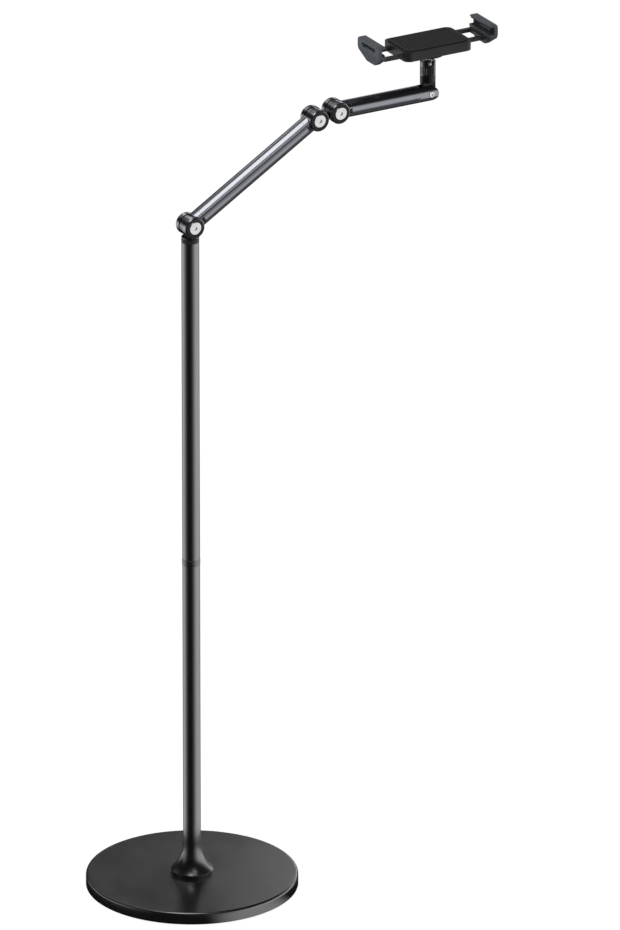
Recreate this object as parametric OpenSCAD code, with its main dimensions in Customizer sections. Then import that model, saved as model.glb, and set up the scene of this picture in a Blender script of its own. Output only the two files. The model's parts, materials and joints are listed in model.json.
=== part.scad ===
// Adjustable tablet floor stand: a weighted round base, a pole in two screwed
// sections, a folding arm on friction knuckles and a sprung clamp for a tablet.
// Millimetres. X points along the arm, Z points up, and the origin lies on the
// floor under the pole.

/* [Base] */
// Diameter of the base cover
base_d = 300; // [260:5:340]
// Height of the base's top face above the floor
base_h = 18; // [16:1:24]
// Radius of the rounded top edge
base_edge_r = 4; // [3:0.5:8]
// Sheet thickness of the base cover
base_skin = 1.5; // [1:0.25:2.5]
// Thickness of the rubber pad under the base
pad_t = 2; // [1.5:0.25:3]
// Height of the cover's rim above the floor
rim_gap = 1; // [0.5:0.25:1.25]
// Thickness of the cast weight's slab
weight_t = 10; // [7:0.5:12]
// Diameter of the weight's raised hub
weight_hub_d = 80; // [50:5:120]
// Diameter of the stud that holds the pole
stud_d = 12; // [8:1:14]
// Height of the stud above the base
stud_rise = 27; // [15:1:28]

/* [Flare] */
// Diameter of the trumpet collar at the base
flare_d = 60; // [50:1:75]
// Height of the trumpet collar
flare_h = 52; // [35:1:80]
// Wall of the collar at its upper lip
flare_lip = 0.6; // [0.6:0.1:2]

/* [Pole] */
// Outer diameter of the pole's tubes
pole_d = 25; // [24:0.5:30]
// Wall of the pole's tubes
pole_wall = 1.5; // [1:0.25:2]
// Length of the lower tube
lower_pole_len = 466; // [300:1:600]
// Length of the upper tube
upper_pole_len = 476; // [300:1:600]
// Height of the ring that shows where the tubes meet
ring_h = 8; // [4:0.5:14]
// Height by which that ring stands proud of the tubes
ring_proud = 0.3; // [0.1:0.05:1]
// Depth of the coupler in each tube
coupler_len = 25; // [15:1:40]
// Thickness of the flange on the plug at the pole's foot
foot_flange_t = 3; // [2:0.5:6]
// Depth of that plug in the lower tube
foot_plug_len = 29; // [20:1:50]

/* [Pole swivel] */
// Height of the collar on the pole's top bush
bush_collar_h = 6; // [3:0.5:12]
// Depth of the bush in the upper tube
bush_len = 30; // [20:1:50]
// Diameter of the lug's spigot
spigot_d = 16; // [13:0.5:17]
// Height of the collar under the elbow
lug_collar_h = 2; // [1.5:0.25:6]

/* [Knuckles] */
// Diameter of the round ears
ear_d = 31; // [29:0.5:36]
// Rounding of an ear's outer edge
ear_round = 2.5; // [1:0.25:3]
// Thickness of one ear
ear_t = 9; // [7:0.5:12]
// Thickness of a tongue
tongue_t = 11; // [9:0.5:14]
// Thickness of a friction washer
washer_t = 0.45; // [0.3:0.05:0.8]
// Diameter of the hinge sleeve
sleeve_d = 12; // [11:0.5:14]
// Diameter of the hinge bolt
bolt_d = 8; // [6:0.5:8.5]
// Diameter of the bolt heads
head_d = 19; // [17:0.5:22]
// Thickness of the bolt heads
head_t = 3; // [2.5:0.25:4]
// Height by which the heads stand proud
head_proud = 0.5; // [0.25:0.05:1]

/* [Arm] */
// Outer diameter of the arm's tubes
arm_d = 25; // [24:0.5:28]
// Wall of the arm's tubes
arm_wall = 1.5; // [1:0.25:2]
// Length of the lower arm between its hinge axes
lower_arm_len = 233.5; // [180:1:320]
// Angle of the lower arm above the horizontal
lower_arm_angle = 31.5; // [0:0.5:60]
// Gap between the barrels of the two knuckles
link_gap = 3; // [2:0.5:16]
// Angle of the knuckle link above the horizontal
link_angle = 8.5; // [-10:0.5:30]
// Length of the upper arm between its hinge axes
upper_arm_len = 148; // [120:1:260]
// Depth of a fitting in its tube
plug_len = 25; // [15:1:35]

/* [Wrist] */
// Height of the rounded arm end
wrist_d = 23; // [22:0.5:24]
// Thickness of the wrist's tongue
wrist_tongue_t = 10; // [8:0.5:12]
// Width of the wrist across its flats
wrist_w = 24; // [22:0.5:24]
// Diameter of the wrist's sleeve
wrist_sleeve_d = 7; // [6.5:0.25:8]
// Diameter of the wrist's bolt
wrist_bolt_d = 5; // [4:0.25:5.5]
// Diameter of the wrist's bolt heads
wrist_head_d = 9; // [8:0.5:11]
// Thickness of the wrist's bolt heads
wrist_head_t = 2; // [1.5:0.25:2.5]

/* [Ball head] */
// Diameter of the post and of the ball's cup
post_d = 22; // [21:0.5:26]
// Height of the seam below the cup above the wrist's axis
post_split = 27; // [24:1:30]
// Height of the ball's centre above the wrist's axis
ball_z = 42; // [40:1:44]
// Diameter of the ball
ball_d = 16; // [14:0.5:16]
// Diameter of the ball's stem
stem_d = 8; // [6:0.5:9]
// Height of the cup's mouth above the ball's centre
cup_lip = 4.8; // [4:0.1:5.4]
// Height of the holder's back above the wrist's axis
post_h = 64; // [62:1:72]
// Diameter of the turning plate under the holder
turn_d = 48; // [46:1:56]
// Diameter of the disc on the stem
disc_d = 30; // [24:0.5:30]
// Thickness of that disc
disc_t = 3.5; // [2.5:0.25:4]

/* [Holder] */
// Length of the holder's housing along the clamp
plate_l = 108; // [104:1:110]
// Width of the housing
plate_w = 68; // [66:1:80]
// Corner radius of the housing
plate_corner = 10; // [4:0.5:14]
// Wall and floor thickness of the housing
shell_t = 2.5; // [2:0.25:3]
// Height of the space inside the housing
cavity_h = 9; // [8.5:0.25:12]
// Thickness of the front cover
cover_t = 2; // [1.5:0.25:3]
// Thickness of the rubber sheet on the cover
sheet_t = 1.5; // [1:0.25:2.5]

/* [Clamp] */
// Gap between the jaws as drawn
grip_gap = 178.5; // [176:0.5:182]
// Travel of each jaw towards the middle
close_travel = 24; // [10:1:24]
// Travel of each jaw outwards
open_travel = 21; // [10:1:21]
// Thickness of the slides
slide_t = 5; // [4:0.25:5.5]
// Width of one slide arm
slide_w = 6.8; // [5:0.1:7]
// Module of the rack and pinion
gear_module = 1; // [1:0.1:1]
// Number of teeth on the pinion
gear_teeth = 18; // [18:2:18]
// Thickness of the pinion
gear_t = 4; // [3:0.25:4.5]

/* [Jaws] */
// Width of a jaw
jaw_w = 60; // [56:1:76]
// Thickness of a jaw's wall
jaw_t = 5; // [4:0.25:7]
// Width of a jaw's foot
jaw_foot_w = 28; // [28:1:40]
// Depth of the jaw's body below the tablet
jaw_drop = 19; // [17:0.5:22]
// Inward slant of the jaw's body at its foot
jaw_slant = 4; // [0:0.25:4.5]
// Height of the groove that takes a tablet
groove_h = 8.5; // [8:0.25:14]
// Thickness of the lip over the groove
lip_t = 3.5; // [3:0.25:6]
// Reach of the lip past the liner
lip_reach = 5; // [4.5:0.25:5.5]
// Thickness of the rubber liner
liner_t = 1.5; // [1:0.25:2]
// Length of the window in the jaw
window_l = 38; // [20:1:40]
// Height of the window in the jaw
window_h = 7; // [5:0.25:7.5]

/* [Hidden] */
$fn = 96;

// Clearances
run_clear = 0.05;   // a turning fit, on the radius
slip_clear = 0.05;  // a glued or pressed plug in its tube, on the radius
face_clear = 0.025; // beside a friction washer
slide_clear = 0.3;  // round a sliding arm
pass_clear = 0.2;   // round a screw or a head in its hole, on the radius
end_gap = 0.3;      // past the end of a screw or a sleeve
over = 1;           // overlap of joined solids and run-out of cuts
sunk = 0.5;         // depth to which rails and bosses reach into a wall
eps = 0.01;
corner_fn = 32;
sweep_steps = 24;

// Colours
black_paint = [0.05, 0.05, 0.055];
black_satin = [0.08, 0.08, 0.085];
black_plastic = [0.07, 0.07, 0.075];
grey_plastic = [0.2, 0.21, 0.23];
silver = [0.8, 0.8, 0.8];
steel = [0.55, 0.55, 0.57];
rubber_black = [0.04, 0.04, 0.04];

// Base levels
weight_top = pad_t + weight_t;
cover_under = base_h - base_skin;
stud_head_d = stud_d + 10;
stud_head_t = 6;
stud_sink = 0.4;
pad_inset = 4;
weight_inset = base_skin + 1;
rib_inset = 4;
rib_w = 10;
rib_d = base_d - 2 * (base_edge_r + rib_inset);
flare_foot_h = 5;
flare_power = 3;

// Pole levels, from the floor up
lower_pole_z = base_h + foot_flange_t;
ring_z = lower_pole_z + lower_pole_len;
upper_pole_z = ring_z + ring_h;
bush_z = upper_pole_z + upper_pole_len;
lug_z = bush_z + bush_collar_h;
ear_gap = 0.5;
elbow_rise = lug_collar_h + ear_gap + ear_d / 2;
elbow_z = lug_z + elbow_rise;
pole_bore_d = pole_d - 2 * pole_wall;
retainer_d = (spigot_d + pole_bore_d) / 2;
retainer_t = 1.5;
retain_screw_d = 5;
retain_screw_len = 17;
retain_head_d = 9;
retain_head_t = 3;

// Knuckle widths
slot_w = tongue_t + 2 * (washer_t + 2 * face_clear);
barrel_w = slot_w + 2 * ear_t;
tongue_d = ear_d - 2;
pocket_d = tongue_d + 0.6;
head_sink = head_t - head_proud;
washer_d = ear_d - 5;
lug_neck_w = 11;
link_neck_h = 12;
link_len = ear_d + link_gap;
socket_af = 5;
socket_share = 0.55;
bolt_share = 0.8;

// Where the arm's tubes begin and the slots end, measured from a hinge axis
fork_neck = 4.5;
tube_x = ear_d / 2 + fork_neck;
arm_bore_d = arm_d - 2 * arm_wall;
slot_run = 1.5;
slot_reach = sqrt(pocket_d * pocket_d - arm_d * arm_d) / 2 + slot_run;

// Hinge axes in the plane of the arm
knuckle_1 = [lower_arm_len * cos(lower_arm_angle), 0, elbow_z + lower_arm_len * sin(lower_arm_angle)];
knuckle_2 = knuckle_1 + [link_len * cos(link_angle), 0, link_len * sin(link_angle)];
wrist = knuckle_2 + [upper_arm_len, 0, 0];

// Wrist
wrist_slot_w = wrist_tongue_t + 2 * (washer_t + 2 * face_clear);
wrist_tongue_d = wrist_d - 1;
wrist_sink = wrist_head_t - head_proud;
wrist_washer_d = wrist_d - 4;
wrist_socket_af = 4;
wrist_slot_x = 16;
wrist_root = wrist_slot_x + 2;
wrist_tube_gap = 26;
post_start = 17;

// Ball head, measured from the wrist's axis
thread_d = ball_d - 2;
thread_len = 6;
seat_z = post_split + thread_len;
seat_top = ball_z - ball_d / 4;
disc_top = post_h - washer_t - 2 * face_clear;
disc_z = disc_top - disc_t;
turn_floor = 3;
turn_z = disc_z - turn_floor;
stem_play = 2;
flutes = 24;
flute_d = 2;
flute_depth = 0.5;

// Holder levels, measured from the wrist's axis
floor_z = post_h + shell_t;
slide_z = floor_z + (cavity_h - slide_t) / 2;
cavity_top = floor_z + cavity_h;
cover_top = cavity_top + cover_t;
rest_z = cover_top + sheet_t;
gear_z = slide_z + (slide_t - gear_t) / 2;
rail_clear = 0.1;
rail_inset = 0.5;
sheet_margin = 4;
groove_pitch = 5;
groove_w = 1.2;

// Rack and pinion
pressure = 20;
pitch_r = gear_module * gear_teeth / 2;
base_r = pitch_r * cos(pressure);
addendum = 0.9 * gear_module;
dedendum = 1.2 * gear_module;
tip_r = pitch_r + addendum;
root_r = pitch_r - dedendum;
rack_pitch = PI * gear_module;
backlash = 0.2;
flank_steps = 5;
axle_d = 5;
spring_wire = 0.4;
spring_h = 1.6;
spring_turns = 3;
spring_pitch = 1.1;
spring_r = 4.2;
spring_z = floor_z + rail_clear;
anchor_d = 2;
anchor_x = spring_r + spring_turns * spring_pitch + spring_wire + anchor_d / 2 + 2 * run_clear;

// Slides, at the right of the middle
jaw_x = grip_gap / 2 + liner_t;
rack_root_y = pitch_r + dedendum;
rack_y = rack_root_y + slide_w;
lane_gap = 2;
guide_y = rack_y + lane_gap;
guide_end_y = guide_y + slide_w;
inner_wall_x = plate_l / 2 - shell_t;
stop_gap = 1.5;
rack_in_x = -inner_wall_x + close_travel + stop_gap;
rack_out_x = inner_wall_x - open_travel - stop_gap;
guide_in_x = 0;

// Jaws, measured from the wrist's axis
jaw_bottom = rest_z - jaw_drop;
lip_under = rest_z + groove_h + liner_t;
jaw_top = lip_under + lip_t;
shelf_l = lip_reach + liner_t;
shelf_z = rest_z - liner_t;
window_z = rest_z + groove_h / 2;
jaw_round = 6;
foot_round = 4;
block_x = jaw_x - shelf_l;
bar_l = 5.5;
bar_x = block_x - bar_l;
foot_wall = 3;
tenon_w = jaw_foot_w - 2 * foot_wall;
tenon_l = 7;
tenon_clear = 0.1;
shoulder_share = 0.6;
jaw_screw_x = block_x + tenon_l / 2;
jaw_screw_y = tenon_w / 3;
liner_inset = 4;
liner_w = jaw_w - 2 * liner_inset;

// Screws
screw_d = 2.8;
screw_head_d = 5.2;
screw_head_t = 1.8;
head_recess = 0.2;
cross_l = 3.2;
cross_w = 0.8;
cross_depth = 1;
screw_bite = 1;
cover_bite = 0.6 * cover_t;
boss_inset_x = 8;
boss_inset_y = 4.4;
housing_screw_x = plate_l / 2 - boss_inset_x;
housing_screw_y = plate_w / 2 - boss_inset_y;
boss_d = 5.6;
turn_screw_x = 12;
turn_screw_y = rack_root_y + slide_w / 2;

// Helpers

module along_y(d, l) { rotate([90, 0, 0]) cylinder(d = d, h = l, center = true); }

// Barrel along Y with rounded rims
module round_barrel(d, w, r) {
    rotate([90, 0, 0]) rotate_extrude() {
        translate([0, -w / 2]) square([d / 2 - r, w]);
        translate([0, -w / 2 + r]) square([d / 2, w - 2 * r]);
        for (s = [-1, 1]) translate([d / 2 - r, s * (w / 2 - r)]) circle(r);
    }
}

module along_x(d, l) { rotate([0, 90, 0]) cylinder(d = d, h = l); }

module ring(outer, inner, h) {
    difference() {
        cylinder(d = outer, h = h);
        translate([0, 0, -over]) cylinder(d = inner, h = h + 2 * over);
    }
}

module rounded(l, w, r) {
    square([l - 2 * r, w], center = true);
    square([l, w - 2 * r], center = true);
    for (x = [-1, 1], y = [-1, 1]) translate([x * (l / 2 - r), y * (w / 2 - r)]) circle(r);
}

module at_elbow() { translate([0, 0, elbow_z]) children(); }

module on_lower_arm() { at_elbow() rotate([0, -lower_arm_angle, 0]) children(); }

module on_link() { translate(knuckle_1) rotate([0, -link_angle, 0]) children(); }

module on_upper_arm() { translate(knuckle_2) children(); }

module at_wrist() { translate(wrist) children(); }

module opposite() { rotate([0, 0, 180]) children(); }

// Small screw that points up from its head, which has a cross recess
module small_screw(head_t, len) {
    difference() {
        union() {
            cylinder(d = screw_head_d, h = head_t);
            cylinder(d = screw_d, h = len);
        }
        for (turn = [0, 90]) rotate([0, 0, turn])
            translate([-cross_l / 2, -cross_w / 2, -over]) cube([cross_l, cross_w, cross_depth + over]);
    }
}

// Base

module base_pad() {
    color(rubber_black) cylinder(d = base_d - 2 * pad_inset, h = pad_t);
}

module base_weight() {
    rest_h = cover_under - weight_top + over;
    color(black_satin) difference() {
        union() {
            translate([0, 0, pad_t]) cylinder(d = base_d - 2 * weight_inset, h = weight_t);
            translate([0, 0, weight_top - over]) cylinder(d = weight_hub_d, h = rest_h);
            translate([0, 0, weight_top - over]) ring(rib_d, rib_d - 2 * rib_w, rest_h);
        }
        translate([0, 0, pad_t - over])
            cylinder(d = stud_head_d + 2 * pass_clear, h = stud_head_t + stud_sink + 2 * slip_clear + over);
        cylinder(d = stud_d + 2 * pass_clear, h = base_h);
    }
}

// Outline of the base: a flat top, a rounded edge and a straight rim
module base_outline(shrink) {
    r = base_d / 2 - shrink;
    top = base_h - shrink;
    edge = base_edge_r - shrink;
    square([r - edge, top]);
    square([r, top - edge]);
    translate([r - edge, top - edge]) circle(edge);
}

module base_cover() {
    color(black_paint) difference() {
        rotate_extrude() difference() {
            base_outline(0);
            base_outline(base_skin);
            translate([0, -base_edge_r]) square([base_d, base_edge_r + rim_gap]);
        }
        cylinder(d = stud_d + 2 * pass_clear, h = base_h + over);
    }
}

module base_stud() {
    foot_z = pad_t + stud_sink;
    color(steel) translate([0, 0, foot_z]) {
        cylinder(d = stud_head_d, h = stud_head_t);
        cylinder(d = stud_d, h = base_h + stud_rise - foot_z);
    }
}

// Trumpet collar that spreads down to a round foot with an upright edge
module pole_flare() {
    bore_r = pole_d / 2 + slip_clear;
    lip_r = bore_r + flare_lip;
    spread = flare_d / 2 - lip_r;
    rise = flare_h - flare_foot_h;
    sweep = [for (i = [0:sweep_steps]) let (share = i / sweep_steps)
        [lip_r + spread * pow(1 - share, flare_power), flare_foot_h + rise * share]];
    color(black_paint) translate([0, 0, base_h]) rotate_extrude()
        polygon(concat([[bore_r, 0], [flare_d / 2, 0]], sweep, [[bore_r, flare_h]]));
}

module pole_foot_plug() {
    color(steel) translate([0, 0, base_h]) difference() {
        union() {
            cylinder(d = pole_d - 2 * slip_clear, h = foot_flange_t);
            cylinder(d = pole_bore_d - 2 * slip_clear, h = foot_flange_t + foot_plug_len);
        }
        translate([0, 0, -over])
            cylinder(d = stud_d + 2 * slip_clear, h = foot_flange_t + foot_plug_len + 2 * over);
    }
}

// Pole

module lower_pole() {
    color(black_satin) translate([0, 0, lower_pole_z]) ring(pole_d, pole_bore_d, lower_pole_len);
}

// Solid band, bevelled above and below to the tubes' diameter
module bevelled_ring() {
    bevel = 2 * ring_proud;
    wide = pole_d + 2 * ring_proud;
    cylinder(d1 = pole_d, d2 = wide, h = bevel);
    translate([0, 0, bevel]) cylinder(d = wide, h = ring_h - 2 * bevel);
    translate([0, 0, ring_h - bevel]) cylinder(d1 = wide, d2 = pole_d, h = bevel);
}

module pole_coupler() {
    color(black_paint) difference() {
        union() {
            translate([0, 0, ring_z]) bevelled_ring();
            translate([0, 0, ring_z - coupler_len])
                cylinder(d = pole_bore_d - 2 * slip_clear, h = ring_h + 2 * coupler_len);
        }
        translate([0, 0, ring_z - coupler_len - over])
            cylinder(d = stud_d, h = ring_h + 2 * (coupler_len + over));
    }
}

module upper_pole() {
    color(black_satin) translate([0, 0, upper_pole_z]) ring(pole_d, pole_bore_d, upper_pole_len);
}

module pole_bush() {
    color(black_plastic) difference() {
        union() {
            translate([0, 0, bush_z]) cylinder(d = pole_d, h = bush_collar_h - face_clear);
            translate([0, 0, bush_z - bush_len])
                cylinder(d = pole_bore_d - 2 * slip_clear, h = bush_len + over);
        }
        translate([0, 0, bush_z - bush_len - over])
            cylinder(d = spigot_d + 2 * run_clear, h = bush_len + bush_collar_h + 2 * over);
    }
}

// Hinge hardware, drawn on a hinge axis at the origin

module hinge_bores(width, sleeve, head, sink) {
    along_y(sleeve + 2 * run_clear, width + 2 * over);
    for (s = [-1, 1]) translate([0, s * (width - sink + over) / 2, 0])
        along_y(head + 2 * pass_clear, sink + over);
}

// Flat head with a bevelled rim and a hex socket, facing away from the hinge
module socket_head(d, t, af) {
    bevel = t / 4;
    difference() {
        union() {
            cylinder(d = d, h = t - bevel);
            translate([0, 0, t - bevel]) cylinder(d1 = d, d2 = d - 2 * bevel, h = bevel);
        }
        translate([0, 0, t * (1 - socket_share)]) cylinder(d = af / cos(30), h = t, $fn = 6);
    }
}

module hinge_bolt(width, bolt, head, head_h, sink, af) {
    shank = (width - 2 * sink) * bolt_share;
    color(silver) translate([0, sink - width / 2, 0]) rotate([90, 0, 0]) {
        socket_head(head, head_h, af);
        translate([0, 0, -shank]) cylinder(d = bolt, h = shank + head_h / 4);
    }
}

module hinge_sleeve_nut(width, bolt, sleeve, head, head_h, sink, af) {
    shank = width - 2 * sink - end_gap;
    color(silver) translate([0, width / 2 - sink, 0]) rotate([-90, 0, 0]) difference() {
        union() {
            socket_head(head, head_h, af);
            translate([0, 0, -shank]) cylinder(d = sleeve, h = shank + head_h / 4);
        }
        translate([0, 0, -shank - over]) cylinder(d = bolt + 2 * run_clear, h = shank + over);
    }
}

module hinge_washers(tongue, d, sleeve) {
    color(rubber_black) for (s = [-1, 1])
        translate([0, s * (tongue / 2 + face_clear + washer_t / 2), 0]) difference() {
            along_y(d, washer_t);
            along_y(sleeve + 4 * run_clear, washer_t + 2 * over);
        }
}

module knuckle_bolt() { hinge_bolt(barrel_w, bolt_d, head_d, head_t, head_sink, socket_af); }

module knuckle_sleeve_nut() {
    hinge_sleeve_nut(barrel_w, bolt_d, sleeve_d, head_d, head_t, head_sink, socket_af);
}

module knuckle_washers() { hinge_washers(tongue_t, washer_d, sleeve_d); }

// Lug on the pole: turns in the bush and carries the elbow

module pole_lug() {
    foot_z = bush_z - bush_len;
    color(black_satin) difference() {
        union() {
            translate([0, 0, foot_z]) cylinder(d = spigot_d, h = bush_len + bush_collar_h + over);
            translate([0, 0, lug_z]) cylinder(d = pole_d, h = lug_collar_h);
            translate([-lug_neck_w / 2, -tongue_t / 2, lug_z + over])
                cube([lug_neck_w, tongue_t, elbow_rise - over]);
            at_elbow() along_y(tongue_d, tongue_t);
        }
        at_elbow() along_y(sleeve_d + 2 * run_clear, tongue_t + 2 * over);
        translate([0, 0, foot_z - over])
            cylinder(d = retain_screw_d + 2 * slip_clear, h = retain_screw_len + end_gap + over);
    }
}

module swivel_retainer() {
    color(steel) translate([0, 0, bush_z - bush_len - retainer_t - face_clear])
        ring(retainer_d, retain_screw_d + 2 * pass_clear, retainer_t);
}

module swivel_screw() {
    head_z = bush_z - bush_len - retainer_t - 2 * face_clear;
    color(steel) {
        translate([0, 0, head_z - retain_head_t]) cylinder(d = retain_head_d, h = retain_head_t);
        translate([0, 0, head_z - over]) cylinder(d = retain_screw_d, h = retain_screw_len + over);
    }
}

// Arm fittings, drawn with the hinge axis at the origin and the tube along X

module fork_fitting() {
    difference() {
        union() {
            round_barrel(ear_d, barrel_w, ear_round);
            translate([ear_d / 4, 0, 0]) along_x(arm_d, tube_x - ear_d / 4);
            translate([tube_x - over, 0, 0]) along_x(arm_bore_d - 2 * slip_clear, plug_len + over);
        }
        along_y(pocket_d, slot_w);
        translate([-ear_d, -slot_w / 2, -ear_d]) cube([ear_d + slot_reach, slot_w, 2 * ear_d]);
        hinge_bores(barrel_w, sleeve_d, head_d, head_sink);
    }
}

module tube_between(from_x, to_x) {
    translate([from_x, 0, 0]) difference() {
        along_x(arm_d, to_x - from_x);
        translate([-over, 0, 0]) along_x(arm_bore_d, to_x - from_x + 2 * over);
    }
}

module lower_arm_tube() {
    color(black_satin) on_lower_arm() tube_between(tube_x, lower_arm_len - tube_x);
}

module lower_arm_foot() { color(black_satin) on_lower_arm() fork_fitting(); }

module lower_arm_head() {
    color(black_satin) on_lower_arm() translate([lower_arm_len, 0, 0]) opposite() fork_fitting();
}

// Two lugs joined by a neck
module knuckle_link() {
    color(black_satin) on_link() difference() {
        union() {
            for (x = [0, link_len]) translate([x, 0, 0]) along_y(tongue_d, tongue_t);
            translate([0, -tongue_t / 2, -link_neck_h / 2]) cube([link_len, tongue_t, link_neck_h]);
        }
        for (x = [0, link_len]) translate([x, 0, 0]) along_y(sleeve_d + 2 * run_clear, tongue_t + 2 * over);
    }
}

module upper_arm_tube() {
    color(black_satin) on_upper_arm() tube_between(tube_x, upper_arm_len - wrist_tube_gap);
}

module upper_arm_foot() { color(black_satin) on_upper_arm() fork_fitting(); }

// Round bar end, slotted for the wrist's tongue and rounded about its axis
module upper_arm_fork() {
    color(black_satin) at_wrist() difference() {
        union() {
            intersection() {
                translate([-wrist_tube_gap, 0, 0]) along_x(arm_d, wrist_tube_gap + wrist_d);
                union() {
                    along_y(wrist_d, wrist_w);
                    translate([-wrist_root, -wrist_w / 2, -wrist_d / 2]) cube([wrist_root, wrist_w, wrist_d]);
                    translate([-wrist_tube_gap, -arm_d / 2, -arm_d / 2])
                        cube([wrist_tube_gap - wrist_root, arm_d, arm_d]);
                }
            }
            translate([-wrist_tube_gap - plug_len, 0, 0])
                along_x(arm_bore_d - 2 * slip_clear, plug_len + over);
        }
        translate([-wrist_slot_x, -wrist_slot_w / 2, -arm_d]) cube([2 * wrist_d, wrist_slot_w, 2 * arm_d]);
        hinge_bores(wrist_w, wrist_sleeve_d, wrist_head_d, wrist_sink);
    }
}

module wrist_bolt() {
    at_wrist() hinge_bolt(wrist_w, wrist_bolt_d, wrist_head_d, wrist_head_t, wrist_sink, wrist_socket_af);
}

module wrist_sleeve_nut() {
    at_wrist() hinge_sleeve_nut(
        wrist_w, wrist_bolt_d, wrist_sleeve_d, wrist_head_d, wrist_head_t, wrist_sink, wrist_socket_af);
}

module wrist_washers() { at_wrist() hinge_washers(wrist_tongue_t, wrist_washer_d, wrist_sleeve_d); }

// Post under the ball: a tongue below, a threaded spigot above
module wrist_post() {
    color(black_satin) at_wrist() difference() {
        union() {
            along_y(wrist_tongue_d, wrist_tongue_t);
            intersection() {
                cylinder(d = post_d, h = post_start + over);
                translate([-wrist_tongue_d / 2, -wrist_tongue_t / 2, 0])
                    cube([wrist_tongue_d, wrist_tongue_t, post_start + over]);
            }
            translate([0, 0, post_start]) cylinder(d = post_d, h = post_split - post_start);
            translate([0, 0, post_split - over]) cylinder(d = thread_d, h = thread_len + over);
        }
        along_y(wrist_sleeve_d + 2 * run_clear, wrist_tongue_t + 2 * over);
    }
}

// Plastic seat that the ball presses on
module ball_seat() {
    foot = seat_z + slip_clear;
    color(grey_plastic) at_wrist() difference() {
        translate([0, 0, foot]) cylinder(d = ball_d - 2 * slip_clear, h = seat_top - foot);
        translate([0, 0, ball_z]) sphere(d = ball_d + 2 * run_clear);
    }
}

// Screwed cup round the ball, notched on one side so that the stem can lie down
module ball_cup() {
    foot = post_split + 2 * face_clear;
    notch_w = stem_d + stem_play;
    color(black_satin) at_wrist() difference() {
        translate([0, 0, foot]) cylinder(d = post_d, h = ball_z + cup_lip - foot);
        translate([0, 0, foot - over]) cylinder(d = thread_d + 2 * slip_clear, h = ball_z - foot);
        translate([0, 0, seat_z]) cylinder(d = ball_d + 2 * run_clear, h = ball_z - seat_z);
        translate([0, 0, ball_z]) sphere(d = ball_d + 2 * run_clear);
        translate([-notch_w / 2, -post_d, ball_z]) cube([notch_w, post_d, ball_d]);
        for (i = [0:flutes - 1]) rotate([0, 0, (i + 0.5) * 360 / flutes])
            translate([post_d / 2 + flute_d / 2 - flute_depth, 0, foot + flute_d])
                cylinder(d = flute_d, h = seat_top - foot, $fn = corner_fn);
    }
}

module ball_stud() {
    color(steel) at_wrist() {
        translate([0, 0, ball_z]) sphere(d = ball_d);
        translate([0, 0, ball_z]) cylinder(d = stem_d, h = disc_top - ball_z);
        translate([0, 0, disc_z]) cylinder(d = disc_d, h = disc_t);
    }
}

module turn_washer() {
    color(rubber_black) at_wrist() translate([0, 0, disc_top + face_clear])
        ring(disc_d - 2 * run_clear, stem_d, washer_t);
}

// Plate under the holder that keeps the stem's disc in
module turn_plate() {
    bevel = 2;
    color(black_satin) at_wrist() difference() {
        union() {
            translate([0, 0, turn_z]) cylinder(d1 = turn_d - 2 * bevel, d2 = turn_d, h = bevel);
            translate([0, 0, turn_z + bevel]) cylinder(d = turn_d, h = post_h - turn_z - bevel);
        }
        translate([0, 0, disc_z - face_clear]) cylinder(d = disc_d + 2 * run_clear, h = post_h);
        translate([0, 0, turn_z - over]) cylinder(d = stem_d + 2 * stem_play, h = post_h);
        for (x = [-1, 1], y = [-1, 1])
            translate([x * turn_screw_x, y * turn_screw_y, turn_z - over])
                cylinder(d = screw_d + 2 * pass_clear, h = post_h);
    }
}

module turn_screws() {
    color(steel) at_wrist() for (x = [-1, 1], y = [-1, 1])
        translate([x * turn_screw_x, y * turn_screw_y, turn_z - screw_head_t])
            small_screw(screw_head_t, screw_head_t + post_h - turn_z + shell_t + screw_bite);
}

// Holder housing

module arm_windows() {
    low = slide_z - slide_clear;
    high = slide_t + 2 * slide_clear;
    for (lane = [[-rack_y, slide_w], [guide_y, slide_w]])
        translate([inner_wall_x - over, lane[0] - slide_clear, low])
            cube([shell_t + 2 * over, lane[1] + 2 * slide_clear, high]);
}

module lane_rails(z, h) {
    for (y = [rack_root_y, guide_y], s = [-1, 1])
        translate([rail_inset - inner_wall_x, s * (y + slide_w / 2) - slide_w / 2 + rail_inset, z])
            cube([2 * (inner_wall_x - rail_inset), slide_w - 2 * rail_inset, h]);
}

module holder_back() {
    color(black_plastic) at_wrist() difference() {
        union() {
            difference() {
                translate([0, 0, post_h]) linear_extrude(shell_t + cavity_h)
                    rounded(plate_l, plate_w, plate_corner);
                translate([0, 0, floor_z]) linear_extrude(cavity_h + over)
                    rounded(plate_l - 2 * shell_t, plate_w - 2 * shell_t, plate_corner - shell_t);
            }
            lane_rails(floor_z - sunk, slide_z - floor_z - rail_clear + sunk);
            translate([0, 0, floor_z - sunk]) cylinder(d = axle_d, h = cavity_h);
            translate([anchor_x, 0, floor_z - sunk]) cylinder(d = anchor_d, h = spring_h + sunk);
            for (x = [-1, 1], y = [-1, 1])
                translate([x * housing_screw_x, y * housing_screw_y, floor_z - sunk])
                    cylinder(d = boss_d, h = cavity_h + sunk);
        }
        arm_windows();
        opposite() arm_windows();
        for (x = [-1, 1], y = [-1, 1]) {
            translate([x * housing_screw_x, y * housing_screw_y, post_h - over]) {
                cylinder(d = screw_d + 2 * pass_clear, h = shell_t + cavity_h + 2 * over);
                cylinder(d = screw_head_d + 2 * pass_clear, h = screw_head_t + over);
            }
            translate([x * turn_screw_x, y * turn_screw_y, post_h - over])
                cylinder(d = screw_d + 2 * slip_clear, h = shell_t + screw_bite + end_gap + over);
        }
    }
}

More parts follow.
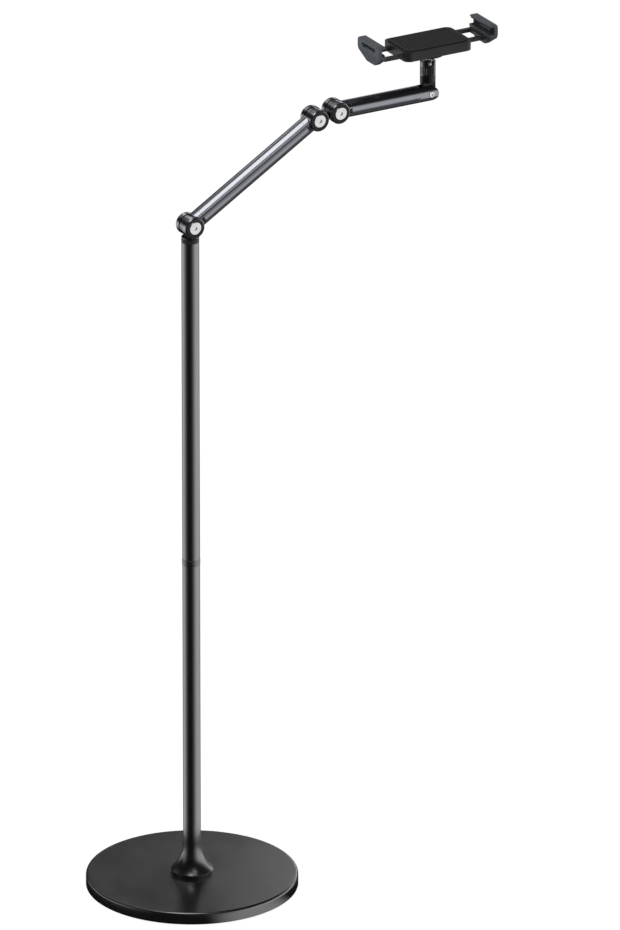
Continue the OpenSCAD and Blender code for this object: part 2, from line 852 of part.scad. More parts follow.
module holder_front() {
    color(black_plastic) at_wrist() difference() {
        union() {
            translate([0, 0, cavity_top]) linear_extrude(cover_t) rounded(plate_l, plate_w, plate_corner);
            lane_rails(slide_z + slide_t + rail_clear, cavity_top - slide_z - slide_t - rail_clear + sunk);
        }
        for (x = [-1, 1], y = [-1, 1])
            translate([x * housing_screw_x, y * housing_screw_y, cavity_top - over])
                cylinder(d = screw_d + 2 * slip_clear, h = cover_bite + over);
    }
}

// Rubber sheet with grip grooves across the clamp
module holder_sheet() {
    length = plate_l - 2 * sheet_margin;
    width = plate_w - 2 * sheet_margin;
    last = floor((length / 2 - sheet_margin) / groove_pitch - 0.5);
    color(rubber_black) at_wrist() translate([0, 0, cover_top]) difference() {
        linear_extrude(sheet_t) rounded(length, width, plate_corner - sheet_margin / 2);
        for (i = [0:last], s = [-1, 1])
            translate([s * (i + 0.5) * groove_pitch, 0, sheet_t / 2]) linear_extrude(sheet_t)
                square([groove_w, width - 2 * sheet_margin], center = true);
    }
}

module housing_screws() {
    color(steel) at_wrist() for (x = [-1, 1], y = [-1, 1])
        translate([x * housing_screw_x, y * housing_screw_y, post_h + head_recess])
            small_screw(screw_head_t - head_recess, shell_t + cavity_h + cover_bite - 2 * head_recess);
}

// Rack and pinion

function involute(a) = tan(a) - a * PI / 180;
function half_tooth(r) = 90 / gear_teeth - backlash / 4 / pitch_r * 180 / PI
    + (involute(pressure) - involute(acos(min(1, base_r / r)))) * 180 / PI;
function polar(r, a) = [r * cos(a), r * sin(a)];
function flank(side, a) = [for (i = [0:flank_steps]) let (r = base_r + (tip_r - base_r) * i / flank_steps)
    polar(r, a + side * half_tooth(r))];
function reversed(list) = [for (i = [len(list) - 1:-1:0]) list[i]];
function tooth(a) = concat(
    [polar(root_r, a - half_tooth(base_r))], flank(-1, a),
    reversed(flank(1, a)), [polar(root_r, a + half_tooth(base_r))]);

module pinion() {
    hub_d = 2 * (spring_r - pass_clear);
    outline = [for (i = [0:gear_teeth - 1]) each tooth(90 + i * 360 / gear_teeth)];
    color(grey_plastic) at_wrist() difference() {
        union() {
            translate([0, 0, gear_z]) linear_extrude(gear_t) polygon(outline);
            translate([0, 0, spring_z]) cylinder(d = hub_d, h = gear_z - floor_z);
        }
        translate([0, 0, floor_z]) cylinder(d = axle_d + 2 * run_clear, h = cavity_h);
    }
}

// Flat spiral spring that winds the pinion shut
module closing_spring() {
    steps = 24;
    last = spring_turns * steps;
    inner = [for (i = [0:last]) polar(spring_r + spring_pitch * i / steps, i * 360 / steps)];
    outer = [for (i = [last:-1:0]) polar(spring_r + spring_wire + spring_pitch * i / steps, i * 360 / steps)];
    color(steel) at_wrist() translate([0, 0, spring_z]) linear_extrude(spring_h)
        polygon(concat(inner, outer));
}

// Teeth of the rack on the near side of the pinion, in the plane of the slide
module rack_teeth() {
    mid = rack_pitch / 4 - backlash / 4;
    tip = mid - addendum * tan(pressure);
    foot = mid + dedendum * tan(pressure);
    tip_y = addendum - pitch_r;
    first = ceil(rack_in_x / rack_pitch);
    last = floor(rack_out_x / rack_pitch) - 1;
    for (i = [first:last]) let (x = (i + 0.5) * rack_pitch)
        polygon([[x - foot, -rack_root_y - eps], [x + foot, -rack_root_y - eps], [x + foot, -rack_root_y],
                 [x + tip, tip_y], [x - tip, tip_y], [x - foot, -rack_root_y]]);
}

module slide() {
    translate([0, 0, slide_z]) linear_extrude(slide_t) {
        rack_teeth();
        translate([rack_in_x, -rack_y]) square([bar_x - rack_in_x + over, slide_w]);
        translate([guide_in_x, guide_y]) square([bar_x - guide_in_x + over, slide_w]);
        translate([bar_x, -guide_end_y]) square([bar_l, 2 * guide_end_y]);
        translate([block_x - over, -tenon_w / 2]) square([tenon_l + over, tenon_w]);
    }
}

module drilled_slide() {
    difference() {
        slide();
        for (s = [-1, 1]) translate([jaw_screw_x, s * jaw_screw_y, slide_z - over])
            cylinder(d = screw_d + 2 * slip_clear, h = slide_t + 2 * over);
    }
}

module right_slide() { color(black_plastic) at_wrist() drilled_slide(); }

module left_slide() { color(black_plastic) at_wrist() opposite() drilled_slide(); }

// Jaws

// Shield outline of a jaw, with Y across and Z up
module jaw_outline() {
    shoulder_z = jaw_bottom + shoulder_share * jaw_drop;
    $fn = corner_fn;
    hull() {
        for (s = [-1, 1]) {
            translate([s * (jaw_foot_w / 2 - foot_round), jaw_bottom + foot_round]) circle(foot_round);
            translate([s * (jaw_w / 2 - foot_round), shoulder_z + foot_round]) circle(foot_round);
            translate([s * (jaw_w / 2 - jaw_round), jaw_top - jaw_round]) circle(jaw_round);
        }
    }
}

// Section of a jaw across its width: lip, wall, shelf and block
module jaw_section() {
    out = jaw_x + jaw_t;
    soft = 1.5;
    polygon([
        [block_x, jaw_bottom + soft], [block_x, shelf_z], [jaw_x, shelf_z], [jaw_x, lip_under],
        [block_x, lip_under], [block_x, jaw_top - soft], [block_x + soft, jaw_top],
        [out - soft, jaw_top], [out, jaw_top - soft], [out, shelf_z],
        [out - jaw_slant, jaw_bottom], [block_x + soft, jaw_bottom]
    ]);
}

// Turns an outline drawn with Y across and Z up so that it is thick along X
module stand_up() { rotate([90, 0, 90]) children(); }

module window_outline() { translate([0, window_z]) rounded(window_l, window_h, window_h / 2 - eps); }

module jaw() {
    difference() {
        intersection() {
            translate([0, jaw_w / 2, 0]) rotate([90, 0, 0]) linear_extrude(jaw_w) jaw_section();
            translate([block_x - over, 0, 0]) stand_up()
                linear_extrude(shelf_l + jaw_t + 2 * over) jaw_outline();
        }
        translate([jaw_x - over, 0, 0]) stand_up() linear_extrude(jaw_t + 2 * over) window_outline();
        translate([block_x - over, -tenon_w / 2 - tenon_clear, slide_z - tenon_clear])
            cube([tenon_l + tenon_clear + over, tenon_w + 2 * tenon_clear, slide_t + 2 * tenon_clear]);
        for (s = [-1, 1]) translate([jaw_screw_x, s * jaw_screw_y, jaw_bottom - over]) {
            cylinder(d = screw_d + 2 * pass_clear, h = slide_z - jaw_bottom + 2 * over);
            cylinder(d = screw_head_d + 2 * pass_clear, h = screw_head_t + over);
        }
    }
}

module right_jaw() { color(grey_plastic) at_wrist() jaw(); }

module left_jaw() { color(grey_plastic) at_wrist() opposite() jaw(); }

// Rubber channel that lines a jaw's groove
module liner() {
    difference() {
        union() {
            translate([jaw_x - liner_t, -liner_w / 2, rest_z - liner_t])
                cube([liner_t, liner_w, groove_h + 2 * liner_t]);
            for (z = [rest_z - liner_t, rest_z + groove_h])
                translate([jaw_x - shelf_l, -liner_w / 2, z]) cube([shelf_l, liner_w, liner_t]);
        }
        translate([jaw_x - liner_t - over, 0, 0]) stand_up()
            linear_extrude(liner_t + 2 * over) window_outline();
    }
}

module right_jaw_liner() { color(rubber_black) at_wrist() liner(); }

module left_jaw_liner() { color(rubber_black) at_wrist() opposite() liner(); }

module jaw_screws() {
    for (s = [-1, 1]) translate([jaw_screw_x, s * jaw_screw_y, jaw_bottom + head_recess])
        small_screw(screw_head_t - head_recess, slide_z + slide_t - jaw_bottom - head_recess - end_gap);
}

module right_jaw_screws() { color(steel) at_wrist() jaw_screws(); }

module left_jaw_screws() { color(steel) at_wrist() opposite() jaw_screws(); }

// Nodes

base_pad();
base_weight();
base_cover();
base_stud();
pole_flare();
pole_foot_plug();
lower_pole();
pole_coupler();
upper_pole();
pole_bush();
pole_lug();
swivel_retainer();
swivel_screw();
lower_arm_tube();
lower_arm_foot();
lower_arm_head();
at_elbow() knuckle_bolt();  // elbow_bolt
at_elbow() knuckle_sleeve_nut();  // elbow_sleeve_nut
at_elbow() knuckle_washers();  // elbow_washers
on_link() knuckle_bolt();  // lower_knuckle_bolt
on_link() knuckle_sleeve_nut();  // lower_knuckle_sleeve_nut
on_link() knuckle_washers();  // lower_knuckle_washers
knuckle_link();
upper_arm_tube();
upper_arm_foot();
upper_arm_fork();
on_upper_arm() knuckle_bolt();  // upper_knuckle_bolt
on_upper_arm() knuckle_sleeve_nut();  // upper_knuckle_sleeve_nut
on_upper_arm() knuckle_washers();  // upper_knuckle_washers
wrist_bolt();
wrist_sleeve_nut();
wrist_washers();
wrist_post();
ball_seat();
ball_cup();
ball_stud();
turn_washer();
turn_plate();
turn_screws();
holder_back();
holder_front();
holder_sheet();
housing_screws();
pinion();
closing_spring();
right_slide();
right_jaw();
right_jaw_liner();
right_jaw_screws();
left_slide();
left_jaw();
left_jaw_liner();
left_jaw_screws();
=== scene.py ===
"""Looks of an adjustable floor stand: its finishes, its fine details, a plain studio and the camera."""

import json
import math

import bmesh
import bpy
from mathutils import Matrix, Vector


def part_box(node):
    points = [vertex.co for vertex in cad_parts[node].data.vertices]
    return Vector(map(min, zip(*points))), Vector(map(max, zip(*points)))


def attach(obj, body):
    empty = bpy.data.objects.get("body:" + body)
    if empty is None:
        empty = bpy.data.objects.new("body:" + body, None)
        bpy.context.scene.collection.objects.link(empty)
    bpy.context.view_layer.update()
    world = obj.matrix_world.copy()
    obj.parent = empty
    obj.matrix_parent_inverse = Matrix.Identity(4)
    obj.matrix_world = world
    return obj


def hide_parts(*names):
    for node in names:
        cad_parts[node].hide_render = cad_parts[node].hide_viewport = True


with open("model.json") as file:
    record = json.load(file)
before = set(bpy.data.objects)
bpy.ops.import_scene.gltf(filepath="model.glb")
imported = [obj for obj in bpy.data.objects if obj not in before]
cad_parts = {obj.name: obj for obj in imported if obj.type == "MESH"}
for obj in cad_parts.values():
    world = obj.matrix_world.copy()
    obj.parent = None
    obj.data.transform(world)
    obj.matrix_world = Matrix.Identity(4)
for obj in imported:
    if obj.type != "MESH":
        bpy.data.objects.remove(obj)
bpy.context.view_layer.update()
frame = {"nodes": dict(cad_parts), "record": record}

RECORD = frame["record"]
NODES = frame["nodes"]
BODY_OF = {node: body for body, nodes in RECORD["behaviour"]["bodies"].items() for node in nodes}
SLOT_OF = {part["node"]: part["material_slot"] for part in RECORD["subparts"]}
MM = 0.001

# Camera: angle, distance and aim worked out from the stand's own lines in the photograph
VIEW_AZIMUTH = math.radians(-29.63)
VIEW_ELEVATION = math.radians(21.90)
VIEW_DISTANCE = 22.708
VIEW_TARGET = Vector((0.1887, -0.0050, 0.6003))
VIEW_LENS = 626.2
CLIP_END = 400.0


def direction(azimuth, elevation):
    """Unit vector towards a viewer at that azimuth and elevation, in radians."""
    level = math.cos(elevation)
    return Vector((math.sin(azimuth) * level, -math.cos(azimuth) * level, math.sin(elevation)))


def make_camera():
    back = direction(VIEW_AZIMUTH, VIEW_ELEVATION)
    camera = bpy.data.objects.new("camera", bpy.data.cameras.new("camera"))
    camera.data.lens = VIEW_LENS
    camera.data.clip_end = CLIP_END
    camera.location = VIEW_TARGET + back * VIEW_DISTANCE
    camera.rotation_mode = "QUATERNION"
    camera.rotation_quaternion = (-back).to_track_quat("-Z", "Y")
    bpy.context.scene.collection.objects.link(camera)
    bpy.context.scene.camera = camera


# Shader trees

WHITE = (1, 1, 1, 1)
# Sockets of the Mix node when it mixes colours
MIX_FACTOR = 0
MIX_FIRST = 6
MIX_SECOND = 7
MIX_RESULT = 2


def grey(level, blue=1.0):
    return (level, level, level * blue, 1)


class Tree:
    """A node tree with short calls for the nodes that the finishes and the studio share."""

    def __init__(self, owner):
        owner.use_nodes = True
        self.nodes = owner.node_tree.nodes
        self.links = owner.node_tree.links
        self.nodes.clear()

    def add(self, kind, inputs=None, **settings):
        node = self.nodes.new("ShaderNode" + kind)
        for name, value in settings.items():
            setattr(node, name, value)
        for key, value in (inputs or {}).items():
            if isinstance(value, bpy.types.NodeSocket):
                self.links.new(value, node.inputs[key])
            else:
                node.inputs[key].default_value = value
        return node

    def math(self, operation, first, second=0.0):
        return self.add("Math", {0: first, 1: second}, operation=operation).outputs[0]

    def vector(self, operation, first, second=(0, 0, 0)):
        """A vector worked out from one or two others."""
        return self.add("VectorMath", {0: first, 1: second}, operation=operation).outputs["Vector"]

    def measure(self, operation, first, second=(0, 0, 0)):
        """A number worked out from one or two vectors."""
        return self.add("VectorMath", {0: first, 1: second}, operation=operation).outputs["Value"]

    def remap(self, value, from_min, from_max, to_min, to_max, smooth=False):
        inputs = {
            "Value": value, "From Min": from_min, "From Max": from_max, "To Min": to_min, "To Max": to_max,
        }
        kind = "SMOOTHSTEP" if smooth else "LINEAR"
        return self.add("MapRange", inputs, interpolation_type=kind).outputs["Result"]

    def mix_shader(self, factor, first, second):
        return self.add("MixShader", {0: factor, 1: first, 2: second}).outputs[0]

    def mix_colour(self, factor, first, second):
        inputs = {MIX_FACTOR: factor, MIX_FIRST: first, MIX_SECOND: second}
        return self.add("Mix", inputs, data_type="RGBA").outputs[MIX_RESULT]

    def glow(self, kind, strength):
        """White light from a surface (Emission) or from the room (Background)."""
        return self.add(kind, {"Color": WHITE, "Strength": strength}).outputs[0]

    def rays(self):
        """Whether a ray comes from the camera, and whether it comes from gloss or glass."""
        path = self.add("LightPath").outputs
        gloss = self.math("MAXIMUM", path["Is Glossy Ray"], path["Is Transmission Ray"])
        return path["Is Camera Ray"], gloss

    def place(self, kind="Object"):
        """Coordinates of the piece itself, or of the room."""
        return self.add("TexCoord").outputs[kind]

    def noise(self, vector, scale, detail=2.0, roughness=0.5):
        inputs = {"Vector": vector, "Scale": scale, "Detail": detail, "Roughness": roughness}
        return self.add("TexNoise", inputs).outputs["Fac"]

    def bump(self, height, strength, distance):
        inputs = {"Height": height, "Strength": strength, "Distance": distance}
        return self.add("Bump", inputs).outputs["Normal"]


# Studio: a white floor that shows a faint shadow, and a room that only reflections see

UP = (0, 0, 1)
LEVEL_PART = (1, 1, 0)
FLOOR_SIZE = 160.0
FLOOR_DROP = 0.4 * MM
FLOOR_GLOW = 0.93
FLOOR_SHADE = 0.185
FLOOR_BOUNCE = 0.8
# In reflections the floor close to the base glows with painted shade, dark apart from one side with
# painted light
NEAR_EDGE = (0.175, 0.200)
NEAR_PAINTED_SHADE = 0.01
NEAR_PAINTED_LIGHT = 0.9
PAINTED_LIGHT_SIDE = math.radians(11)
PAINTED_LIGHT_REACH = (math.radians(32), math.radians(3))
UNDER_PAD_SOFT = 4 * MM
ROOM_LIGHT = 0.42
ROOM_WHITE = 1.0
# In reflections the room is white in a band about the horizon, which is dark on two sides
BAND_LEVEL = 1.25
BAND_LOW = math.radians(-31)
BAND_HIGH = math.radians(20)
BAND_SOFT = math.radians(11)
BELOW_SHARE = 0.12
DARK_LEVEL = 0.012
# Sides of the room: the middle, half the width and the softness of its edge
DARK_FRONT = (math.radians(-46.5), math.radians(46), math.radians(46))
DARK_BACK = (math.radians(150), math.radians(39), math.radians(12))
DARK_BACK_TOP = (math.radians(0), math.radians(10))
# On this side the band ends lower, by a share of the room's height
LOW_SIDE = (math.radians(-160), math.radians(38), math.radians(22))
LOW_SIDE_DROP = 0.36
# A soft light in the ceiling, behind the stand
CEILING_TURN = math.radians(-175)
CEILING_RISE = math.radians(50)
CEILING_REACH = (math.radians(36), math.radians(16))
CEILING_LEVEL = 0.30
# What the lamps are aimed at
ARM_MIDDLE = (0.1, 0.0, 1.06)
BASE_MIDDLE = (0.0, 0.0, 0.10)


def floor_white():
    """White with a faint shadow to the camera; in reflections, painted shade near the base with painted
    light on one side.
    """
    material = bpy.data.materials.new("floor_white")
    tree = Tree(material)
    from_camera, from_gloss = tree.rays()
    geometry = tree.add("NewGeometry").outputs
    clear = tree.add("BsdfTransparent").outputs[0]
    shaded = tree.add("BsdfDiffuse", {"Color": grey(FLOOR_SHADE)}).outputs[0]
    bounce = tree.add("BsdfDiffuse", {"Color": grey(FLOOR_BOUNCE)}).outputs[0]
    white = tree.add("AddShader", {0: tree.glow("Emission", FLOOR_GLOW), 1: shaded}).outputs[0]
    surface = tree.mix_shader(from_camera, bounce, white)
    reach = tree.measure("LENGTH", geometry["Position"])
    around = tree.vector("NORMALIZE", geometry["Position"])
    # Painted shade and painted light, seen only in reflections: near the base the floor glows dark, and
    # bright on one side
    painted_light_side = tree.measure("DOT_PRODUCT", around, direction(PAINTED_LIGHT_SIDE, 0))
    edges = [math.cos(angle) for angle in PAINTED_LIGHT_REACH]
    painted_shade_and_light = tree.remap(painted_light_side, *edges, NEAR_PAINTED_SHADE, NEAR_PAINTED_LIGHT, smooth=True)
    far = tree.remap(reach, *NEAR_EDGE, 0, 1, smooth=True)
    # Beyond the painted shade, reflections pass through the floor to the room's white band
    mirrored = tree.mix_shader(far, tree.glow("Emission", painted_shade_and_light), clear)
    surface = tree.mix_shader(from_gloss, surface, mirrored)
    # From below, and under the pad, the floor is clear, so that the underside can be seen
    pad_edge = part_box("base_pad")[1][0]
    under_pad = tree.remap(reach, pad_edge - UNDER_PAD_SOFT, pad_edge, 1, 0)
    open_below = tree.math("MAXIMUM", geometry["Backfacing"], under_pad)
    surface = tree.mix_shader(open_below, surface, clear)
    tree.add("OutputMaterial", {"Surface": surface})
    return material


def make_floor():
    mesh = bpy.data.meshes.new("floor")
    half = FLOOR_SIZE / 2
    corners = [(x * half, y * half, -FLOOR_DROP) for x, y in ((-1, -1), (1, -1), (1, 1), (-1, 1))]
    mesh.from_pydata(corners, [], [(0, 1, 2, 3)])
    mesh.materials.append(floor_white())
    floor = bpy.data.objects.new("floor", mesh)
    bpy.context.scene.collection.objects.link(floor)


def make_world():
    world = bpy.data.worlds.new("studio")
    bpy.context.scene.world = world
    tree = Tree(world)
    from_camera, from_gloss = tree.rays()
    heading = tree.place("Generated")
    height = tree.measure("DOT_PRODUCT", heading, UP)
    level = tree.vector("NORMALIZE", tree.vector("MULTIPLY", heading, LEVEL_PART))

    def side(place, outside, inside):
        """A value that changes from outside to inside one side of the room."""
        middle, half, soft = place
        edges = (math.cos(half + soft), math.cos(half - soft))
        towards = tree.measure("DOT_PRODUCT", level, direction(middle, 0))
        return tree.remap(towards, *edges, outside, inside, smooth=True)

    def rise(value, edges, below, above):
        """A value that changes from below to above a height in the room."""
        return tree.remap(value, *(math.sin(edge) for edge in edges), below, above, smooth=True)

    back = tree.math("MAXIMUM", side(DARK_BACK, 1, DARK_LEVEL), rise(height, DARK_BACK_TOP, 0, 1))
    top = tree.math("ADD", height, side(LOW_SIDE, 0, LOW_SIDE_DROP))
    shares = [
        side(DARK_FRONT, 1, DARK_LEVEL),
        back,
        rise(height, (BAND_LOW - BAND_SOFT, BAND_LOW + BAND_SOFT), BELOW_SHARE, 1),
        rise(top, (BAND_HIGH - BAND_SOFT, BAND_HIGH + BAND_SOFT), 1, DARK_LEVEL),
    ]
    band = BAND_LEVEL
    for share in shares:
        band = tree.math("MULTIPLY", band, share)
    overhead = tree.measure("DOT_PRODUCT", heading, direction(CEILING_TURN, CEILING_RISE))
    edges = [math.cos(angle) for angle in CEILING_REACH]
    ceiling = tree.remap(overhead, *edges, 0, CEILING_LEVEL, smooth=True)
    mirrored = tree.glow("Background", tree.math("ADD", band, ceiling))
    surface = tree.mix_shader(from_gloss, tree.glow("Background", ROOM_LIGHT), mirrored)
    surface = tree.mix_shader(from_camera, surface, tree.glow("Background", ROOM_WHITE))
    tree.add("OutputWorld", {"Surface": surface})


def softbox(name, place, aim, width, height, radiance):
    """Rectangular soft light of an even radiance, aimed at a point."""
    lamp = bpy.data.lights.new(name, "AREA")
    lamp.shape = "RECTANGLE"
    lamp.size = width
    lamp.size_y = height
    lamp.energy = radiance * math.pi * width * height
    holder = bpy.data.objects.new(name, lamp)
    holder.location = place
    holder.rotation_mode = "QUATERNION"
    holder.rotation_quaternion = (Vector(aim) - Vector(place)).to_track_quat("-Z", "Y")
    holder.visible_camera = False
    bpy.context.scene.collection.objects.link(holder)


def make_lights():
    softbox("overhead", (-0.46, -0.25, 2.45), (-0.46, -0.25, 0.0), width=0.80, height=1.30, radiance=2.8)
    softbox("front_top", (-0.14, -1.36, 2.20), ARM_MIDDLE, width=0.80, height=0.60, radiance=0.8)
    softbox("knuckle_back", (0.16, 0.70, 1.50), ARM_MIDDLE, width=0.34, height=0.16, radiance=1.25)
    softbox("back_right", (1.766, 1.393, 0.95), BASE_MIDDLE, width=1.6, height=1.2, radiance=0.45)


# Finishes, one for each of the record's material slots, and a shinier black coat for the barrels

BLUISH = (0.90, 0.92, 1.0, 1)
PLASTIC_IOR = 1.46
# Range of the patchy noise over which the roughness changes
PATCH_RANGE = (0.3, 0.7)
# Ripple of a turned face, in radians across the piece's box
TURNED_RIPPLE = 260.0
BOX_MIDDLE = (0.5, 0.5, 0.5)
# The bolts run along Y
ACROSS_BOLT = (1, 0, 1)
# Share of a metal's colour that its darker patches have
TURNED_DARKER = 0.94
PLAIN_DARKER = 0.8


def finish(name, **sockets):
    """A new material with a principled shader, whose even numbers are set on its own sockets."""
    material = bpy.data.materials.new(name)
    tree = Tree(material)
    values = {key.replace("_", " "): value for key, value in sockets.items()}
    shader = tree.add("BsdfPrincipled", values)
    tree.add("OutputMaterial", {"Surface": shader.outputs[0]})
    return material, tree, shader


def dress(tree, shader, colours, roughness, patches, relief, strength, depth):
    """Colour and roughness that wander between two values with a patchy noise, and a fine relief."""
    tree.links.new(tree.mix_colour(patches, *colours), shader.inputs["Base Color"])
    tree.links.new(tree.remap(patches, *PATCH_RANGE, *roughness), shader.inputs["Roughness"])
    tree.links.new(tree.bump(relief, strength, depth), shader.inputs["Normal"])


def powder_coat(name, colours, roughness, ior, level):
    """Smooth powder coat: faint orange peel and slightly uneven gloss."""
    material, tree, shader = finish(name, IOR=ior, Specular_IOR_Level=level)
    place = tree.place()
    peel = tree.noise(place, scale=700)
    patches = tree.noise(place, scale=14, detail=4, roughness=0.6)
    dress(tree, shader, colours, roughness, patches, peel, strength=0.02, depth=0.2 * MM)
    return material


def anodised(name, colours, roughness, ior, level):
    """Black anodising over drawn metal, with a very fine grain."""
    material, tree, shader = finish(name, IOR=ior, Specular_IOR_Level=level, Specular_Tint=BLUISH)
    place = tree.place()
    grain = tree.noise(place, scale=300)
    patches = tree.noise(place, scale=30, detail=4, roughness=0.6)
    dress(tree, shader, colours, roughness, patches, grain, strength=0.004, depth=0.1 * MM)
    return material


def turned_metal(name, colour, roughness):
    """Plated metal turned on a lathe: fine rings about the piece's middle."""
    material, tree, shader = finish(name, Metallic=1.0)
    middle = tree.vector("SUBTRACT", tree.place("Generated"), BOX_MIDDLE)
    radius = tree.measure("LENGTH", tree.vector("MULTIPLY", middle, ACROSS_BOLT))
    rings = tree.math("SINE", tree.math("MULTIPLY", radius, TURNED_RIPPLE))
    patches = tree.noise(tree.place(), scale=220, detail=3)
    colours = (grey(colour * TURNED_DARKER), grey(colour))
    dress(tree, shader, colours, roughness, patches, rings, strength=0.03, depth=0.05 * MM)
    return material


def plain_metal(name, colour, roughness, grain):
    """Zinc plated or cast metal with a fine even grain."""
    material, tree, shader = finish(name, Metallic=1.0)
    place = tree.place()
    patches = tree.noise(place, scale=160, detail=4, roughness=0.6)
    grains = tree.noise(place, scale=grain, detail=3)
    colours = (grey(colour * PLAIN_DARKER), grey(colour))
    dress(tree, shader, colours, roughness, patches, grains, strength=0.15, depth=0.2 * MM)
    return material


def moulded(name, colours, roughness, grain, strength):
    """Moulded plastic or rubber with a fine etched grain."""
    material, tree, shader = finish(name, IOR=PLASTIC_IOR)
    place = tree.place()
    patches = tree.noise(place, scale=40, detail=4, roughness=0.6)
    cells = tree.add("TexVoronoi", {"Vector": place, "Scale": grain}).outputs["Distance"]
    dress(tree, shader, colours, roughness, patches, cells, strength, depth=0.2 * MM)
    return material


def make_finishes():
    black = (grey(0.006), grey(0.010))
    blue_black = (grey(0.008, 1.25), grey(0.013, 1.3))
    rubber = (grey(0.018), grey(0.030))
    plastic = (grey(0.020), grey(0.028))
    slate = ((0.078, 0.089, 0.106, 1), (0.097, 0.109, 0.129, 1))
    return {
        "base_paint": powder_coat("base_paint", black, (0.20, 0.27), ior=1.85, level=1.0),
        "pole_paint": powder_coat("pole_paint", black, (0.17, 0.23), ior=2.05, level=1.0),
        "black_coat": powder_coat("black_coat", black, (0.30, 0.38), ior=1.4, level=0.5),
        "polished_coat": powder_coat("polished_coat", blue_black, (0.17, 0.23), ior=1.85, level=1.0),
        "cast_weight": plain_metal("cast_weight", 0.08, (0.6, 0.8), grain=500),
        "black_rubber": moulded("black_rubber", rubber, (0.70, 0.85), grain=1500, strength=0.25),
        "plain_steel": plain_metal("plain_steel", 0.55, (0.28, 0.42), grain=900),
        "nickel": turned_metal("nickel", 0.84, (0.22, 0.34)),
        "black_aluminium": anodised("black_aluminium", blue_black, (0.15, 0.21), ior=2.35, level=1.0),
        "black_plastic": moulded("black_plastic", plastic, (0.42, 0.52), grain=1400, strength=0.15),
        "grey_plastic": moulded("grey_plastic", slate, (0.48, 0.58), grain=1400, strength=0.15),
    }


def paint_nodes(finishes):
    for name, node in NODES.items():
        node.data.materials.clear()
        node.data.materials.append(finishes[SLOT_OF[name]])


# Pieces: copies of the solids with softened edges, and the details that the solids leave out

WELD = 1e-6
FLAT_ANGLE = math.radians(1)
SHARP_ANGLE = math.radians(35)
EDGE_STEPS = 2
EDGE_ROUNDNESS = 0.5
# How wide each piece's softened edges are
EDGE = 0.3 * MM
EDGES = {
    "base_cover": 0.4 * MM, "pole_lug": 0.6 * MM, "knuckle_link": 0.8 * MM, "pole_coupler": 0.15 * MM,
    "wrist_post": 0.6 * MM, "turn_plate": 0.6 * MM, "holder_back": 1.0 * MM, "holder_front": 0.8 * MM,
    "right_jaw": 1.0 * MM, "left_jaw": 1.0 * MM, "right_slide": 0.4 * MM, "left_slide": 0.4 * MM,
    "ball_cup": 0.12 * MM, "ball_stud": 0.03 * MM, "holder_sheet": 0.12 * MM, "pole_flare": 0.2 * MM,
    "turn_screws": 0.1 * MM, "housing_screws": 0.1 * MM, "right_jaw_screws": 0.1 * MM,
    "left_jaw_screws": 0.1 * MM,
}
# Pieces with one finish all over
SOFTENED = [
    "base_cover", "pole_flare", "lower_pole", "pole_coupler", "upper_pole", "pole_bush",
    "lower_arm_tube", "upper_arm_tube", "upper_arm_fork", "wrist_post",
    "ball_stud", "turn_plate", "turn_screws", "holder_back", "holder_front", "holder_sheet",
    "housing_screws", "right_slide", "left_slide", "right_jaw", "left_jaw", "right_jaw_liner",
    "left_jaw_liner", "right_jaw_screws", "left_jaw_screws", "elbow_bolt", "elbow_sleeve_nut",
    "lower_knuckle_bolt", "lower_knuckle_sleeve_nut", "upper_knuckle_bolt",
    "upper_knuckle_sleeve_nut", "wrist_bolt", "wrist_sleeve_nut",
]
# Barrels whose faces at both ends along Y are duller than the rest
FORKS = ["lower_arm_foot", "lower_arm_head", "upper_arm_foot"]
POLISHED = ["pole_lug", "knuckle_link", "ball_cup"]
# Such a face looks along Y by this much, and lies past this share of the barrel's half length
FLAT_END = 0.9
BARREL_END_SHARE = 0.8
PAD_GROOVES = 9
PAD_GROOVE_HALF = 2.5 * MM
PAD_GROOVE_DEPTH = 0.8 * MM
# Points across a groove: shares of half its width and of its depth
PAD_GROOVE_POINTS = ((-1, 0), (-0.5, 1), (0.5, 1), (1, 0))
PAD_EDGE = 0.4 * MM
PAD_STEPS = 160


def softened(node):
    """The node's solid as an editable mesh, with each flat face whole and the sharp edges rounded."""
    solid = bmesh.new()
    solid.from_mesh(NODES[node].data)
    bmesh.ops.remove_doubles(solid, verts=solid.verts, dist=WELD)
    bmesh.ops.dissolve_limit(solid, angle_limit=FLAT_ANGLE, verts=solid.verts, edges=solid.edges)
    sharp = [edge for edge in solid.edges if edge.is_manifold and edge.calc_face_angle() > SHARP_ANGLE]
    bmesh.ops.bevel(solid, geom=sharp, offset=EDGES.get(node, EDGE), offset_type="OFFSET",
                    segments=EDGE_STEPS, profile=EDGE_ROUNDNESS, affect="EDGES", clamp_overlap=True)
    return solid


def as_object(name, solid):
    """The solid as an object, without the normals that it had before its edges were softened."""
    mesh = bpy.data.meshes.new(name)
    solid.to_mesh(mesh)
    solid.free()
    if "custom_normal" in mesh.attributes:
        mesh.attributes.remove(mesh.attributes["custom_normal"])
    thing = bpy.data.objects.new(name, mesh)
    bpy.context.scene.collection.objects.link(thing)
    return thing


def show(solid, node, *materials):
    """Puts the finished solid in the node's place, on its body and with its finish."""
    piece = as_object(node + "_dressed", solid)
    for material in materials:
        piece.data.materials.append(material)
    piece.data.shade_smooth()
    piece.data.set_sharp_from_angle(angle=SHARP_ANGLE)
    piece.modifiers.new("even_shading", "WEIGHTED_NORMAL").keep_sharp = True
    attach(piece, BODY_OF[node])
    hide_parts(node)


def make_softened(finishes):
    for node in SOFTENED:
        show(softened(node), node, finishes[SLOT_OF[node]])


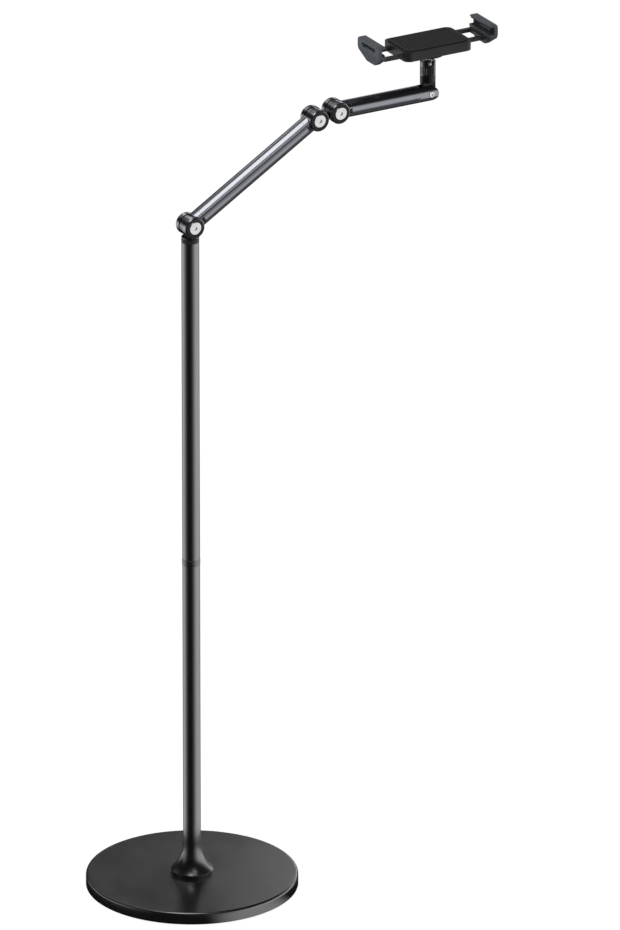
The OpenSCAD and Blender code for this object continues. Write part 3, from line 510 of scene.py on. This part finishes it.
def make_barrels(finishes):
    """Bright barrels whose end faces along Y have the duller black coat."""
    for node in FORKS + POLISHED:
        solid = softened(node)
        end = BARREL_END_SHARE * max(vert.co.y for vert in solid.verts)
        for face in solid.faces:
            outer = abs(face.calc_center_median().y) > end
            face.material_index = int(outer and abs(face.normal.y) > FLAT_END)
        barrel = "polished_coat" if node in POLISHED else SLOT_OF[node]
        show(solid, node, finishes[barrel], finishes["black_coat"])


def lathe(outline, steps):
    """Solid turned about the Z axis from (radius, height) points that start and end on the axis."""
    solid = bmesh.new()
    turns = [math.tau * step / steps for step in range(steps)]
    circle = [(math.cos(turn), math.sin(turn)) for turn in turns]
    rings = []
    for radius, height in outline:
        if radius == 0:
            rings.append([solid.verts.new((0, 0, height))] * steps)
        else:
            rings.append([solid.verts.new((radius * x, radius * y, height)) for x, y in circle])
    for inner, outer in zip(rings, rings[1:]):
        for step in range(steps):
            after = (step + 1) % steps
            corners = dict.fromkeys((inner[step], inner[after], outer[after], outer[step]))
            solid.faces.new(corners)
    bmesh.ops.recalc_face_normals(solid, faces=solid.faces)
    return solid


def make_pad(finishes):
    """Rubber pad with ring grooves in its underside."""
    low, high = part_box("base_pad")
    radius = (high[0] - low[0]) / 2
    bottom = low[2]
    top = high[2]
    outline = [(0, bottom)]
    for groove in range(PAD_GROOVES):
        middle = radius * (groove + 1) / (PAD_GROOVES + 1)
        for across, depth in PAD_GROOVE_POINTS:
            outline.append((middle + across * PAD_GROOVE_HALF, bottom + depth * PAD_GROOVE_DEPTH))
    inset = radius - PAD_EDGE
    outline += [
        (inset, bottom), (radius, bottom + PAD_EDGE), (radius, top - PAD_EDGE), (inset, top), (0, top),
    ]
    show(lathe(outline, PAD_STEPS), "base_pad", finishes[SLOT_OF["base_pad"]])


bpy.context.scene.view_settings.view_transform = "Standard"
make_camera()
make_floor()
make_world()
make_lights()
FINISHES = make_finishes()
paint_nodes(FINISHES)
make_softened(FINISHES)
make_barrels(FINISHES)
make_pad(FINISHES)
